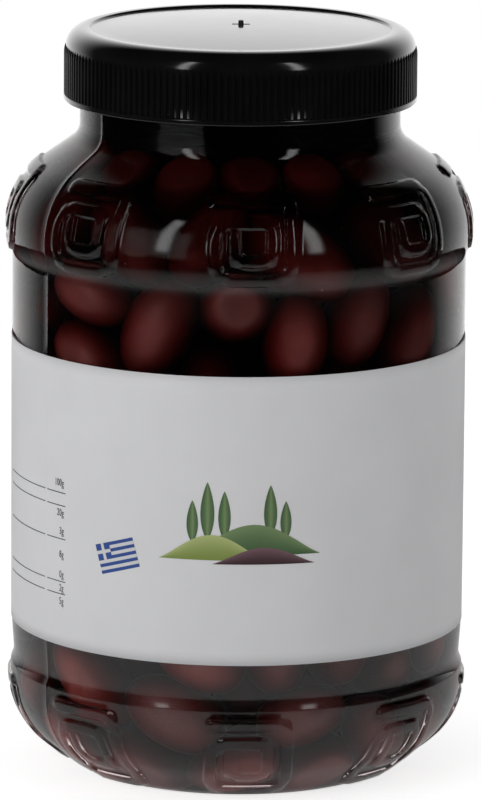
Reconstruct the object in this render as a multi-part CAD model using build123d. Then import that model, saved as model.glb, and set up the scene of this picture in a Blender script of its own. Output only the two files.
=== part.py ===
from build123d import *
import os
from math import atan, cos, pi, radians, sin, tan

# A family-size clear plastic jar of olives in dark brine, with a black ribbed
# screw lid and a wrap-round paper label.  Millimetres, +Z up, the origin at the
# centre of the foot on the floor, the front of the label towards -Y.

# ---- Jar body: radii from the axis, outside faces ---------------------------
panel_radius = 59.3  # straight wall that carries the label
panel_length = 107.3  # from the base groove up to the shoulder line
base_proud = 0.3  # base bulge beyond the label wall
shoulder_proud = 1.1  # shoulder bulge beyond the label wall
jar_wall = 0.7

# Foot and base
push_up = 7.0  # height of the raised middle of the base
push_up_radius = 20.0  # its flat middle
push_up_fillet = 9.0
foot_width = 8.7  # from the push-up's edge out to where the base cone starts
cone_run = 17.4  # how far out the base cone reaches
cone_slope = 40.0  # degrees above the floor
foot_edge_fillet = 3.0
heel_fillet = 12.0
base_fillet = 21.0

# Groove between the base bulge and the label wall
groove_height = 29.3
groove_depth = 0.9
groove_rise = 2.0  # height over which the bulge turns in to the groove
groove_taper = 8.0  # height over which the wall comes back out above it
groove_lip_fillet = 1.6
groove_fillet = 0.8
taper_fillet = 25.0

# Shoulder
swell_rise = 3.7  # shoulder line up to where the bulge turns upright
swell_fillet = 20.0
shoulder_line_fillet = 3.0
shoulder_upright = 14.0  # from there to the corner under the shoulder's arc
shoulder_fillet = 20.5
shoulder_slope = 36.0  # degrees above the floor
neck_fillet = 6.0

# Neck
neck_radius = 41.8
neck_length = 9.2  # between the shoulder and the lid's lower edge
land_step = 1.8  # thicker ring of the neck inside the lid
land_lift = 1.5  # how far inside the lid that ring starts
rim_fillet = 0.4

# ---- Meander relief, raised on the shoulder and on the base -----------------
meander_count = 8
meander_turn = 3.5  # degrees that the pattern is turned from the front
meander_width = 22.6
shoulder_meander_height = 22.3
base_meander_height = 23.0
shoulder_meander_lift = 12.85  # its middle above the shoulder line
base_meander_middle = 13.4  # its middle above the floor
stroke_width = 3.0
stroke_gap = 1.9
relief_height = 0.8
relief_sink = 0.35  # how deep the raised stroke is rooted in the wall
outer_corner_fillet = 2.5
outer_round_fillet = 4.5
inner_corner_fillet = 2.5
inner_round_fillet = 3.0

# ---- Lid ---------------------------------------------------------------------
lid_height = 18.6
lid_wall = 1.9
lid_top = 1.8
lid_clearance = 0.5  # between the lid's bore and the ring of the neck
crown_fillet = 4.8
crown_skirt = 0.4  # upright edge between the crown's round and the ribs
disc_margin = 6.6  # from the lid's side in to the sunk disc on top
disc_sink = 0.6
disc_batter = 0.3  # how far the step down to the disc leans inwards
disc_edge_fillet = 0.15
disc_dome = 1.4  # how far the disc bulges up in its middle
dome_share = 0.9  # share of each half of the bulge that its arc takes
flange_height = 1.3
flange_proud = 0.1
rib_count = 160
rib_depth = 0.45
rib_crest_share = 0.45  # share of the pitch that the crest takes
gate_radius = 0.7  # stub left by the moulding gate in the middle of the disc
gate_height = 1.1
gate_root = 0.5

# ---- Label -------------------------------------------------------------------
label_lift = 10.0  # above the base groove
label_height = 75.5
paper = 0.2
seam_width = 9.0  # where the two ends of the label overlap at the back

# ---- Filling -----------------------------------------------------------------
fill_gap = 7.0  # from the rim down to the brine

# ---- Worked out --------------------------------------------------------------
base_radius = panel_radius + base_proud
shoulder_radius = panel_radius + shoulder_proud
groove_radius = base_radius - groove_depth
heel_radius = base_radius - cone_run
foot_inner_radius = heel_radius - foot_width
cone_top = cone_run * tan(radians(cone_slope))
shoulder_line = groove_height + panel_length
swell_top = shoulder_line + swell_rise
shoulder_corner = swell_top + shoulder_upright
neck_base = shoulder_corner + (shoulder_radius - neck_radius) * tan(radians(shoulder_slope))
lid_bottom = neck_base + neck_length
lid_top_height = lid_bottom + lid_height
mouth = lid_top_height - lid_top
land_radius = neck_radius + land_step
land_bottom = lid_bottom + land_lift
bore_radius = neck_radius - jar_wall
lid_bore = land_radius + lid_clearance
lid_radius = lid_bore + lid_wall
fill_level = mouth - fill_gap
beyond = 2 * (lid_top_height + shoulder_radius)  # larger than the whole jar
cut_over = 1.0  # how far a cut runs past the face it opens


def section_face(corners):
    """Half section in the XZ plane, closed along the axis, from (radius, height, fillet) corners."""
    points = [(radius, 0, height) for radius, height, _ in corners]
    outline = FilletPolyline(*points, radius=[fillet for _, _, fillet in corners[1:-1]])
    return make_face(Curve() + [outline, Line(points[-1], points[0])])


def shifted(corners, amount):
    """The same outline moved outwards by amount, its fillets kept concentric."""
    points = [Vector(radius, height) for radius, height, _ in corners]
    normals = []
    for start, end in zip(points, points[1:]):
        along = (end - start).normalized()
        normals.append(Vector(along.Y, -along.X))
    moved = []
    for index, (point, (_, _, fillet)) in enumerate(zip(points, corners)):
        before = normals[max(index - 1, 0)]
        after = normals[min(index, len(normals) - 1)]
        corner = point + (before + after) * (amount / (1 + before.dot(after)))
        bulges = before.X * after.Y > before.Y * after.X
        concentric = fillet + amount if bulges else fillet - amount
        moved.append((corner.X, corner.Y, max(concentric, 0)))
    return moved


def jar_corners():
    """Corners of the jar's outside, from the middle of the base to the rim."""
    return [
        (0, push_up, 0),
        (push_up_radius, push_up, push_up_fillet),
        (foot_inner_radius, 0, foot_edge_fillet),
        (heel_radius, 0, heel_fillet),
        (base_radius, cone_top, base_fillet),
        (base_radius, groove_height - groove_rise, groove_lip_fillet),
        (groove_radius, groove_height, groove_fillet),
        (panel_radius, groove_height + groove_taper, taper_fillet),
        (panel_radius, shoulder_line, shoulder_line_fillet),
        (shoulder_radius, swell_top, swell_fillet),
        (shoulder_radius, shoulder_corner, shoulder_fillet),
        (neck_radius, neck_base, neck_fillet),
        (neck_radius, land_bottom, rim_fillet),
        (land_radius, land_bottom + land_step, rim_fillet),
        (land_radius, mouth, rim_fillet),
        (0, mouth, 0),
    ]


def turned_jar(amount):
    """The jar's outside as a solid of revolution, moved outwards by amount."""
    return revolve(section_face(shifted(jar_corners(), amount)), Axis.Z)


def disc_solid(radius, low, high):
    """An upright cylinder on the axis between two heights."""
    return Pos(0, 0, low) * Cylinder(radius, high - low, align=(Align.CENTER, Align.CENTER, Align.MIN))


def cavity():
    """The room inside the jar, open through the mouth."""
    room = turned_jar(-jar_wall) & disc_solid(beyond, 0, land_bottom)
    return room + disc_solid(bore_radius, land_bottom, mouth + cut_over)


def meander(height):
    """The key pattern as a flat sketch: a squared spiral that winds in clockwise."""
    step = stroke_width + stroke_gap
    x = (meander_width - stroke_width) / 2
    y = (height - stroke_width) / 2
    spiral = FilletPolyline(
        (-x, y),
        (x, y),
        (x, -y),
        (-x, -y),
        (-x, y - step),
        (x - step, y - step),
        (x - step, step - y),
        (step - x, step - y),
        (step - x, y - step - stroke_width),
        radius=[
            outer_corner_fillet,
            outer_round_fillet,
            outer_round_fillet,
            outer_round_fillet,
            inner_corner_fillet,
            inner_round_fillet,
            inner_round_fillet,
        ],
    )
    return trace(spiral, stroke_width)


def relief(sketch, middle):
    """One raised pattern at the front, its strokes following the jar's surface."""
    start = foot_inner_radius + foot_width / 2
    front = Plane(origin=(0, -start, middle), x_dir=(1, 0, 0), z_dir=(0, -1, 0))
    bar = extrude(front * sketch, shoulder_radius + 2 * relief_height - start)
    return (bar & turned_jar(relief_height)) - turned_jar(-relief_sink)


def meander_ring(height, middle):
    """The pattern repeated round the jar."""
    one = relief(meander(height), middle)
    turns = [meander_turn + 360 / meander_count * index for index in range(meander_count)]
    return [Rot(0, 0, turn) * one for turn in turns]


def build_jar():
    """Thin plastic jar: foot, base, label wall, shoulder, neck and relief."""
    body = turned_jar(0) - cavity()
    reliefs = meander_ring(shoulder_meander_height, shoulder_line + shoulder_meander_lift)
    reliefs += meander_ring(base_meander_height, base_meander_middle)
    return body + reliefs


def rib_outline():
    """The ribbed side of the lid seen from above, one crest and valley a pitch."""
    pitch = 2 * pi / rib_count
    crest = rib_crest_share * pitch / 2
    points = []
    for index in range(rib_count):
        middle = index * pitch
        for radius, angle in (
            (lid_radius, middle - crest),
            (lid_radius, middle + crest),
            (lid_radius - rib_depth, middle + pitch / 2),
        ):
            points.append((radius * cos(angle), radius * sin(angle)))
    return make_face(Polyline(*points, close=True))


def build_lid():
    """Screw lid: sunk disc, round crown, ribbed skirt and a smooth lower edge."""
    crown_base = lid_top_height - crown_fillet - crown_skirt
    flange_top = lid_bottom + flange_height
    flange_radius = lid_radius + flange_proud
    valley = lid_radius - rib_depth
    disc_radius = lid_radius - disc_margin
    disc_height = lid_top_height - disc_sink
    dome_height = disc_height + disc_dome
    dome_run = (disc_radius - disc_batter) / 2
    dome_fillet = dome_share * dome_run / tan(atan(disc_dome / dome_run) / 2)
    crown = section_face(
        [
            (0, crown_base, 0),
            (valley, crown_base, 0),
            (valley, lid_top_height, crown_fillet),
            (disc_radius, lid_top_height, disc_edge_fillet),
            (disc_radius - disc_batter, disc_height, 0),
            (dome_run, dome_height, dome_fillet),
            (0, dome_height, 0),
        ]
    )
    ribs = extrude(Pos(0, 0, flange_top) * rib_outline(), crown_base - flange_top)
    flange = disc_solid(flange_radius, lid_bottom, flange_top)
    core = disc_solid(valley, lid_bottom, crown_base)
    gate = disc_solid(gate_radius, dome_height - gate_root, dome_height + gate_height)
    room = disc_solid(lid_bore, lid_bottom - cut_over, mouth)
    return revolve(crown, Axis.Z) + ribs + flange + core - room + gate


def build_label():
    """Paper sleeve on the label wall, its outer end lapped over at the back."""
    low = groove_height + label_lift
    high = low + label_height
    outer = panel_radius + paper
    sleeve = disc_solid(outer, low, high) - disc_solid(panel_radius, low, high)
    lap = disc_solid(outer + paper, low, high) - disc_solid(panel_radius, low, high)
    middle_on_floor = (Align.CENTER, Align.CENTER, Align.MIN)
    behind = Pos(0, outer, low) * Box(seam_width, outer, label_height, align=middle_on_floor)
    return sleeve + (lap & behind)


def build_brine():
    """The dark brine, from the bottom of the jar to its level in the neck."""
    return cavity() & disc_solid(beyond, 0, fill_level)


os.makedirs("parts", exist_ok=True)
nodes = {
    "jar": build_jar(),
    "lid": build_lid(),
    "label": build_label(),
    "brine": build_brine(),
}
for node, solid in nodes.items():
    export_step(solid, f"parts/{node}.step")
    print(node, "solids", len(solid.solids()), "volume", round(solid.volume))
print("height", round(lid_top_height, 2), "shoulder diameter", 2 * shoulder_radius)
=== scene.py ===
"""Looks of a family-size clear jar of dark olives in wine-dark brine.

The jar stands upright and sealed: a thin clear plastic jar with raised meander panels round its
shoulder and base, a black ribbed screw lid, a wrap-round paper label, the brine and the olives in it.
Metres, +Z up, the origin at the middle of the foot, the front of the label towards -Y.
An azimuth is measured from the front, positive towards +X.
"""

import logging
import math
from dataclasses import dataclass, field
from enum import Enum
from typing import Callable, Iterable, Optional, Sequence

import bpy
import numpy as np
from mathutils import Matrix, Vector


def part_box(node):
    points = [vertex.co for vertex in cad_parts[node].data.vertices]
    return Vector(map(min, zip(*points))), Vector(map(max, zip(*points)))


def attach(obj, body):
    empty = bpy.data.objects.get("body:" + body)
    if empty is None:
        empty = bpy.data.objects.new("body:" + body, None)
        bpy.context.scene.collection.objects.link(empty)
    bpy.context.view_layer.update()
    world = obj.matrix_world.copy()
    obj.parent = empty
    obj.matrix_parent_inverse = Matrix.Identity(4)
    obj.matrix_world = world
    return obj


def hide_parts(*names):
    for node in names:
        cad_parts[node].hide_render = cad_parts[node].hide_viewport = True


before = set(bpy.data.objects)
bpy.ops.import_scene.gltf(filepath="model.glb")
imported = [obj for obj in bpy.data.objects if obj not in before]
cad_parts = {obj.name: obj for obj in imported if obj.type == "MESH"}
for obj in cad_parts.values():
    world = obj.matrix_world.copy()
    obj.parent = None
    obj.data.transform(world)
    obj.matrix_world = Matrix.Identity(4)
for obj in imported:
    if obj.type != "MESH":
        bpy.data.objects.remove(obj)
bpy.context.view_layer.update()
BODY = "root"
MM = 0.001

log = logging.getLogger("olive_jar")

Corner = tuple[float, float, float]
Colour = tuple[float, float, float]


# ---------------------------------------------------------------------------------------------
# Outlines and turned shapes
# ---------------------------------------------------------------------------------------------


def moved_out(corners: Sequence[Corner], amount: float) -> list[Corner]:
    """Moves a half section outwards and keeps its rounds concentric.

    Args:
        corners: (radius, height, round) of each corner, from the axis outwards.
        amount: distance, negative for inwards.

    Returns:
        The corners of the moved outline.
    """
    points = [Vector((r, z)) for r, z, _ in corners]
    normals = []
    for start, end in zip(points, points[1:]):
        along = (end - start).normalized()
        normals.append(Vector((along.y, -along.x)))
    moved = []
    for index, (point, corner) in enumerate(zip(points, corners)):
        before = normals[max(index - 1, 0)]
        after = normals[min(index, len(normals) - 1)]
        place = point + (before + after) * (amount / (1 + before.dot(after)))
        bulges = before.x * after.y > before.y * after.x
        concentric = corner[2] + amount if bulges else corner[2] - amount
        moved.append((place.x, place.y, max(concentric, 0.0)))
    return moved


@dataclass
class Outline:
    """A half section with rounded corners, sampled finely enough for a smooth turned surface."""

    corners: Sequence[Corner]
    coarse: float = 9 * MM
    turn_step: float = math.radians(7)
    finest: float = 0.3 * MM
    row_clear: float = 0.8 * MM

    def _dense(self) -> tuple[np.ndarray, np.ndarray]:
        """Points along the outline, and the widest spacing that each may have."""
        places: list[Vector] = []
        widths: list[float] = []
        points = [Vector((r, z)) for r, z, _ in self.corners]
        for index, (point, corner) in enumerate(zip(points, self.corners)):
            ends = index in (0, len(points) - 1)
            if ends or corner[2] <= 0:
                places.append(point)
                widths.append(self.coarse)
                continue
            into = (point - points[index - 1]).normalized()
            out = (points[index + 1] - point).normalized()
            angle = math.acos(max(-1.0, min(1.0, into.dot(out))))
            if angle < 1e-6:
                continue
            reach = corner[2] * math.tan(angle / 2)
            side = 1.0 if into.x * out.y - into.y * out.x > 0 else -1.0
            start = point - into * reach
            centre = start + Vector((-into.y, into.x)) * (side * corner[2])
            steps = max(8, math.ceil(angle / math.radians(1)))
            for step in range(steps + 1):
                arm = start - centre
                arm.rotate(Matrix.Rotation(side * angle * step / steps, 2))
                places.append(centre + arm)
                widths.append(min(self.coarse, max(corner[2] * self.turn_step, self.finest)))
        return np.array([tuple(p) for p in places]), np.array(widths)

    def rows(self, levels: Sequence[float] = ()) -> np.ndarray:
        """Samples the outline.

        Args:
            levels: heights at which the side gets a row of its own, in place of the usual rows near it.

        Returns:
            An array of (radius, height).
        """
        places, widths = self._dense()
        path, allowed = [places[0]], [widths[0]]
        for index in range(1, len(places)):
            start, end = places[index - 1], places[index]
            pieces = max(1, math.ceil(np.linalg.norm(end - start) / (0.1 * MM)))
            straight = pieces > 8
            for piece in range(1, pieces + 1):
                path.append(start + (end - start) * piece / pieces)
                both = min(widths[index - 1], widths[index])
                allowed.append(self.coarse if straight and 0 < piece < pieces else both)
        line, spacing = np.array(path), np.array(allowed)
        lengths = np.linalg.norm(np.diff(line, axis=0), axis=1)
        share = np.concatenate([[0.0], np.cumsum(lengths / ((spacing[1:] + spacing[:-1]) / 2))])
        count = max(2, math.ceil(share[-1]))
        at = np.linspace(0, share[-1], count + 1)
        sampled = np.stack([np.interp(at, share, line[:, 0]), np.interp(at, share, line[:, 1])], axis=1)
        if not len(levels):
            return sampled
        foot = len(line) - 1 - int(np.argmin(line[::-1, 1]))
        extra = np.interp(np.sort(levels), line[foot:, 1], share[foot:])
        added = np.stack([np.interp(extra, share, line[:, 0]), np.interp(extra, share, line[:, 1])], axis=1)
        gaps = np.linalg.norm(sampled[:, None] - added[None], axis=-1).min(axis=1)
        order = np.argsort(np.concatenate([at[gaps > self.row_clear], extra]))
        return np.concatenate([sampled[gaps > self.row_clear], added])[order]


def even_turn(count: int) -> np.ndarray:
    """Azimuths of evenly spaced columns, in radians."""
    return np.arange(count) * (2 * math.pi / count)


def new_object(
    name: str, vertices: np.ndarray, faces: Iterable[Sequence[int]], smooth: bool = True
) -> bpy.types.Object:
    """Makes an object at the origin from vertices and faces.

    Args:
        name: name of the piece.
        vertices: array of (x, y, z).
        faces: vertex numbers of each face.
        smooth: whether the faces are shaded smooth.

    Returns:
        The new object, linked to the scene.
    """
    mesh = bpy.data.meshes.new(name)
    mesh.from_pydata(np.asarray(vertices, float).tolist(), [], [list(f) for f in faces])
    mesh.polygons.foreach_set("use_smooth", [smooth] * len(mesh.polygons))
    mesh.update()
    piece = bpy.data.objects.new(name, mesh)
    bpy.context.scene.collection.objects.link(piece)
    return piece


def turned(
    name: str,
    rows: np.ndarray,
    columns: np.ndarray,
    ring: bool = False,
    raised: Optional[Callable[[np.ndarray, np.ndarray, np.ndarray], np.ndarray]] = None,
    swept: Optional[Callable[[np.ndarray, np.ndarray], np.ndarray]] = None,
) -> bpy.types.Object:
    """Turns a half section round the axis into a closed mesh.

    Args:
        name: name of the piece.
        rows: (radius, height) of each row, with the outside on the right of its way.
        columns: azimuth of each column, rising.
        ring: True for a section that closes on itself, False for one that starts and ends on the axis.
        raised: gives how far each point stands out, from grids of azimuth, radius and height.
        swept: gives each point's final azimuth, from grids of azimuth and radius.

    Returns:
        The turned object.
    """
    section = np.array(rows, float)
    azimuth, radius = np.meshgrid(columns, section[:, 0])
    height = np.repeat(section[:, 1:2], len(columns), axis=1)
    if raised is not None:
        along = np.gradient(section, axis=0)
        along /= np.maximum(np.linalg.norm(along, axis=1, keepdims=True), 1e-12)
        amount = raised(azimuth, radius, height)
        radius = radius + amount * along[:, 1:2]
        height = height - amount * along[:, 0:1]
    if swept is not None:
        azimuth = swept(azimuth, np.repeat(section[:, 0:1], len(columns), axis=1))
    grid = np.stack([radius * np.sin(azimuth), -radius * np.cos(azimuth), height], axis=-1)
    count, width = len(section), len(columns)
    number = np.arange(count * width).reshape(count, width)
    right = np.roll(number, -1, axis=1)
    vertices = grid.reshape(-1, 3)
    if ring:
        upper, upper_right = np.roll(number, -1, axis=0), np.roll(right, -1, axis=0)
        faces = np.stack([number, right, upper_right, upper], axis=-1).reshape(-1, 4).tolist()
        return new_object(name, vertices, faces)
    body = number[1:-1]
    first, last = 0, 1
    shift = 2 - width
    kept = np.concatenate([[[0, 0, section[0, 1]], [0, 0, section[-1, 1]]], vertices[width:-width]])
    quads = np.stack([body[:-1], right[1:-2], right[2:-1], body[1:]], axis=-1).reshape(-1, 4) + shift
    start, start_right = body[0] + shift, right[1] + shift
    stop, stop_right = body[-1] + shift, right[-2] + shift
    faces = quads.tolist()
    faces += [[first, b, a] for a, b in zip(start.tolist(), start_right.tolist())]
    faces += [[a, b, last] for a, b in zip(stop.tolist(), stop_right.tolist())]
    return new_object(name, kept, faces)


def frozen(piece: bpy.types.Object) -> bpy.types.Object:
    """Replaces an object's mesh by its evaluated one and takes its modifiers off."""
    depsgraph = bpy.context.evaluated_depsgraph_get()
    final = bpy.data.meshes.new_from_object(
        piece.evaluated_get(depsgraph), preserve_all_data_layers=True, depsgraph=depsgraph
    )
    piece.modifiers.clear()
    piece.data = final
    return piece


def bake_tree(
    piece: bpy.types.Object, tree: bpy.types.NodeTree, values: dict[str, object]
) -> bpy.types.Object:
    """Runs a geometry tree on an object and keeps only the mesh that it makes.

    Args:
        piece: object that carries the tree's input geometry.
        tree: geometry tree.
        values: value of each named input.

    Returns:
        The same object with the made mesh.
    """
    modifier = piece.modifiers.new(tree.name, "NODES")
    modifier.node_group = tree
    for item in tree.interface.items_tree:
        if item.item_type == "SOCKET" and item.in_out == "INPUT" and item.name in values:
            modifier[item.identifier] = values[item.name]
    return frozen(piece)


# ---------------------------------------------------------------------------------------------
# Shader groups and finishes
# ---------------------------------------------------------------------------------------------


class Coordinates(Enum):
    """What a pattern or a light is placed by."""

    OBJECT = "Object"
    SURFACE = "UV"
    DIRECTION = "Generated"


class Wiring:
    """Short calls for placing and joining the nodes of one tree."""

    def __init__(self, tree: bpy.types.NodeTree) -> None:
        """Keeps the tree that the calls work on."""
        self.tree = tree

    def node(self, kind: str, **settings: object) -> bpy.types.Node:
        """Adds a node and sets its properties."""
        made = self.tree.nodes.new(kind)
        for name, value in settings.items():
            setattr(made, name, value)
        return made

    def join(self, source: bpy.types.NodeSocket, target: bpy.types.NodeSocket) -> None:
        """Links one socket to another."""
        self.tree.links.new(source, target)

    def math(self, operation: str, *values: object) -> bpy.types.NodeSocket:
        """Adds a Math node whose inputs are sockets or numbers, and returns its value."""
        made = self.node("ShaderNodeMath", operation=operation)
        for socket, value in zip(made.inputs, values):
            if isinstance(value, bpy.types.NodeSocket):
                self.join(value, socket)
            else:
                socket.default_value = value
        return made.outputs[0]

    def coordinates(self, kind: Coordinates) -> bpy.types.NodeSocket:
        """Adds a Texture Coordinate node, and returns one of its outputs."""
        return self.node("ShaderNodeTexCoord").outputs[kind.value]

    def smooth_range(
        self, source: bpy.types.NodeSocket, start: float, end: float, low: float = 0.0, high: float = 1.0
    ) -> bpy.types.NodeSocket:
        """Turns start..end in source smoothly into low..high, and returns the result."""
        made = self.node("ShaderNodeMapRange", interpolation_type="SMOOTHSTEP")
        for label, value in (("From Min", start), ("From Max", end), ("To Min", low), ("To Max", high)):
            made.inputs[label].default_value = value
        self.join(source, made.inputs["Value"])
        return made.outputs["Result"]

    def instances(
        self, inputs: dict[str, bpy.types.NodeSocket], material: bpy.types.Material
    ) -> bpy.types.NodeSocket:
        """Puts a shape at each point as a real mesh with its material.

        Args:
            inputs: what feeds each named input of the Instance on Points node.
            material: material of the made mesh.

        Returns:
            The made geometry.
        """
        place = self.node("GeometryNodeInstanceOnPoints")
        for label, source in inputs.items():
            self.join(source, place.inputs[label])
        real = self.node("GeometryNodeRealizeInstances")
        dress = self.node("GeometryNodeSetMaterial")
        dress.inputs["Material"].default_value = material
        self.join(place.outputs["Instances"], real.inputs["Geometry"])
        self.join(real.outputs["Geometry"], dress.inputs["Geometry"])
        return dress.outputs["Geometry"]

    def ramp(
        self, source: bpy.types.NodeSocket, stops: Sequence[tuple[float, Colour]]
    ) -> bpy.types.NodeSocket:
        """Adds a Color Ramp fed by source, and returns its colour."""
        made = self.node("ShaderNodeValToRGB")
        elements = made.color_ramp.elements
        while len(elements) < len(stops):
            elements.new(0.5)
        for element, (place, colour) in zip(elements, stops):
            element.position = place
            element.color = (*colour, 1)
        self.join(source, made.inputs[0])
        return made.outputs[0]


def shader_group(name: str, inputs: Sequence[tuple[str, float]], outputs: Sequence[str]) -> Wiring:
    """Starts a shader node group that takes a Vector and named numbers and gives named numbers.

    Args:
        name: name of the group.
        inputs: (name, default) of each number.
        outputs: name of each output.

    Returns:
        The wiring of the group's tree, with its Group Input and Group Output in place.
    """
    tree = bpy.data.node_groups.new(name, "ShaderNodeTree")
    tree.interface.new_socket("Vector", in_out="INPUT", socket_type="NodeSocketVector")
    for label, value in inputs:
        socket = tree.interface.new_socket(label, in_out="INPUT", socket_type="NodeSocketFloat")
        socket.default_value = value
    for label in outputs:
        tree.interface.new_socket(label, in_out="OUTPUT", socket_type="NodeSocketFloat")
    wiring = Wiring(tree)
    wiring.node("NodeGroupInput", name="In")
    wiring.node("NodeGroupOutput", name="Out")
    return wiring


def geometry_tree(name: str, inputs: Sequence[tuple[str, str]], output: str) -> Wiring:
    """Starts a geometry tree with named inputs and one geometry output.

    Args:
        name: name of the tree.
        inputs: (name, kind of socket) of each input.
        output: name of the output.

    Returns:
        The wiring of the tree, with its Group Input and Group Output in place.
    """
    tree = bpy.data.node_groups.new(name, "GeometryNodeTree")
    for label, kind in inputs:
        tree.interface.new_socket(label, in_out="INPUT", socket_type=f"NodeSocket{kind}")
    tree.interface.new_socket(output, in_out="OUTPUT", socket_type="NodeSocketGeometry")
    wiring = Wiring(tree)
    wiring.node("NodeGroupInput", name="In")
    wiring.node("NodeGroupOutput", name="Out")
    return wiring


class Effects:
    """Surface effects that several finishes share, each a node group built once."""

    def __init__(self) -> None:
        """Builds the groups."""
        self.mottle = self._mottle()
        self.grain = self._grain()

    @staticmethod
    def _mottle() -> bpy.types.NodeTree:
        """Soft uneven patches, 0 to 1, for tone and gloss that drift over a surface."""
        group = shader_group("Mottle", [("Scale", 60.0), ("Contrast", 1.0)], ["Mask"])
        source, sink = group.tree.nodes["In"], group.tree.nodes["Out"]
        noise = group.node("ShaderNodeTexNoise")
        noise.inputs["Detail"].default_value = 4.0
        noise.inputs["Roughness"].default_value = 0.55
        group.join(source.outputs["Vector"], noise.inputs["Vector"])
        group.join(source.outputs["Scale"], noise.inputs["Scale"])
        centred = group.math("SUBTRACT", noise.outputs["Fac"], 0.5)
        spread = group.math("MULTIPLY", centred, source.outputs["Contrast"])
        lifted = group.node("ShaderNodeMath", operation="ADD", use_clamp=True)
        group.join(spread, lifted.inputs[0])
        lifted.inputs[1].default_value = 0.5
        group.join(lifted.outputs[0], sink.inputs["Mask"])
        return group.tree

    @staticmethod
    def _grain() -> bpy.types.NodeTree:
        """Fine relief from two sizes of noise, as a height from 0 to 1."""
        group = shader_group("Grain", [("Scale", 900.0), ("Coarse Share", 0.3)], ["Height"])
        source, sink = group.tree.nodes["In"], group.tree.nodes["Out"]
        fine = group.node("ShaderNodeTexNoise")
        fine.inputs["Detail"].default_value = 3.0
        group.join(source.outputs["Vector"], fine.inputs["Vector"])
        group.join(source.outputs["Scale"], fine.inputs["Scale"])
        broad = group.node("ShaderNodeTexNoise")
        broad.inputs["Detail"].default_value = 2.0
        group.join(source.outputs["Vector"], broad.inputs["Vector"])
        group.join(group.math("MULTIPLY", source.outputs["Scale"], 0.12), broad.inputs["Scale"])
        one = group.math("MULTIPLY", broad.outputs["Fac"], source.outputs["Coarse Share"])
        rest = group.math("SUBTRACT", 1.0, source.outputs["Coarse Share"])
        other = group.math("MULTIPLY", fine.outputs["Fac"], rest)
        group.join(group.math("ADD", one, other), sink.inputs["Height"])
        return group.tree


@dataclass(frozen=True)
class Finish:
    """What every finish shares: a name and the calls that start its material."""

    name: str

    def start(self) -> tuple[bpy.types.Material, Wiring, bpy.types.Node, bpy.types.NodeSocket]:
        """Makes the material and gives its wiring, its Principled shader and its place vector."""
        material = bpy.data.materials.new(self.name)
        material.use_nodes = True
        wiring = Wiring(material.node_tree)
        shader = material.node_tree.nodes["Principled BSDF"]
        return material, wiring, shader, wiring.coordinates(Coordinates.OBJECT)

    @staticmethod
    def effect(
        wiring: Wiring, tree: bpy.types.NodeTree, place: bpy.types.NodeSocket, **values: float
    ) -> bpy.types.NodeSocket:
        """Places a shared effect in a material and returns its first output."""
        group = wiring.node("ShaderNodeGroup", node_tree=tree)
        wiring.join(place, group.inputs["Vector"])
        for label, value in values.items():
            group.inputs[label.replace("_", " ")].default_value = value
        return group.outputs[0]

    @staticmethod
    def bump(
        wiring: Wiring, height: bpy.types.NodeSocket, shader: bpy.types.Node, depth: float
    ) -> None:
        """Feeds a height into the shader's normal through a Bump node."""
        made = wiring.node("ShaderNodeBump")
        made.inputs["Distance"].default_value = depth
        wiring.join(height, made.inputs["Height"])
        wiring.join(made.outputs["Normal"], shader.inputs["Normal"])

    @staticmethod
    def let_lamps_through(wiring: Wiring, shader: bpy.types.Node, tint: Colour) -> None:
        """Lets shadow rays pass, so that lamps reach what lies inside."""
        output = wiring.tree.nodes["Material Output"]
        clear = wiring.node("ShaderNodeBsdfTransparent")
        clear.inputs["Color"].default_value = (*tint, 1)
        mix = wiring.node("ShaderNodeMixShader")
        wiring.join(wiring.node("ShaderNodeLightPath").outputs["Is Shadow Ray"], mix.inputs[0])
        wiring.join(shader.outputs["BSDF"], mix.inputs[1])
        wiring.join(clear.outputs["BSDF"], mix.inputs[2])
        wiring.join(mix.outputs[0], output.inputs["Surface"])


@dataclass(frozen=True)
class ClearPlastic(Finish):
    """Thin blown bottle plastic: clear, glossy, with faint waves.

    The refraction is against what lies outside the surface: air outside the jar, brine inside it.
    """

    refraction: float = 1.55
    roughness: float = 0.02
    gloss_drift: float = 0.05
    wave_depth: float = 0.05 * MM
    lamp_tint: Colour = (0.93, 0.93, 0.93)

    def build(self, effects: Effects) -> bpy.types.Material:
        """Makes the material."""
        material, wiring, shader, place = self.start()
        shader.inputs["Base Color"].default_value = (1, 1, 1, 1)
        shader.inputs["Transmission Weight"].default_value = 1.0
        shader.inputs["IOR"].default_value = self.refraction
        gloss = self.effect(wiring, effects.mottle, place, Scale=45.0, Contrast=1.6)
        rough = wiring.math("MULTIPLY_ADD", gloss, self.gloss_drift, self.roughness)
        wiring.join(rough, shader.inputs["Roughness"])
        waves = self.effect(wiring, effects.mottle, place, Scale=38.0, Contrast=1.0)
        self.bump(wiring, waves, shader, self.wave_depth)
        self.let_lamps_through(wiring, shader, self.lamp_tint)
        return material


@dataclass(frozen=True)
class Brine(Finish):
    """Wine-dark brine that swallows light within a few millimetres.

    The jar's wetted wall bends the light into it, so its own edge, which lies in that wall, doesn't.
    """

    refraction: float = 1.0
    colour: Colour = (0.50, 0.12, 0.10)
    density: float = 330.0

    def build(self) -> bpy.types.Material:
        """Makes the material."""
        material, wiring, shader, _ = self.start()
        shader.inputs["Base Color"].default_value = (1, 1, 1, 1)
        shader.inputs["Transmission Weight"].default_value = 1.0
        shader.inputs["IOR"].default_value = self.refraction
        shader.inputs["Roughness"].default_value = 0.0
        murk = wiring.node("ShaderNodeVolumeAbsorption")
        murk.inputs["Color"].default_value = (*self.colour, 1)
        murk.inputs["Density"].default_value = self.density
        wiring.join(murk.outputs[0], wiring.tree.nodes["Material Output"].inputs["Volume"])
        self.let_lamps_through(wiring, shader, (1.0, 1.0, 1.0))
        return material


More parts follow.
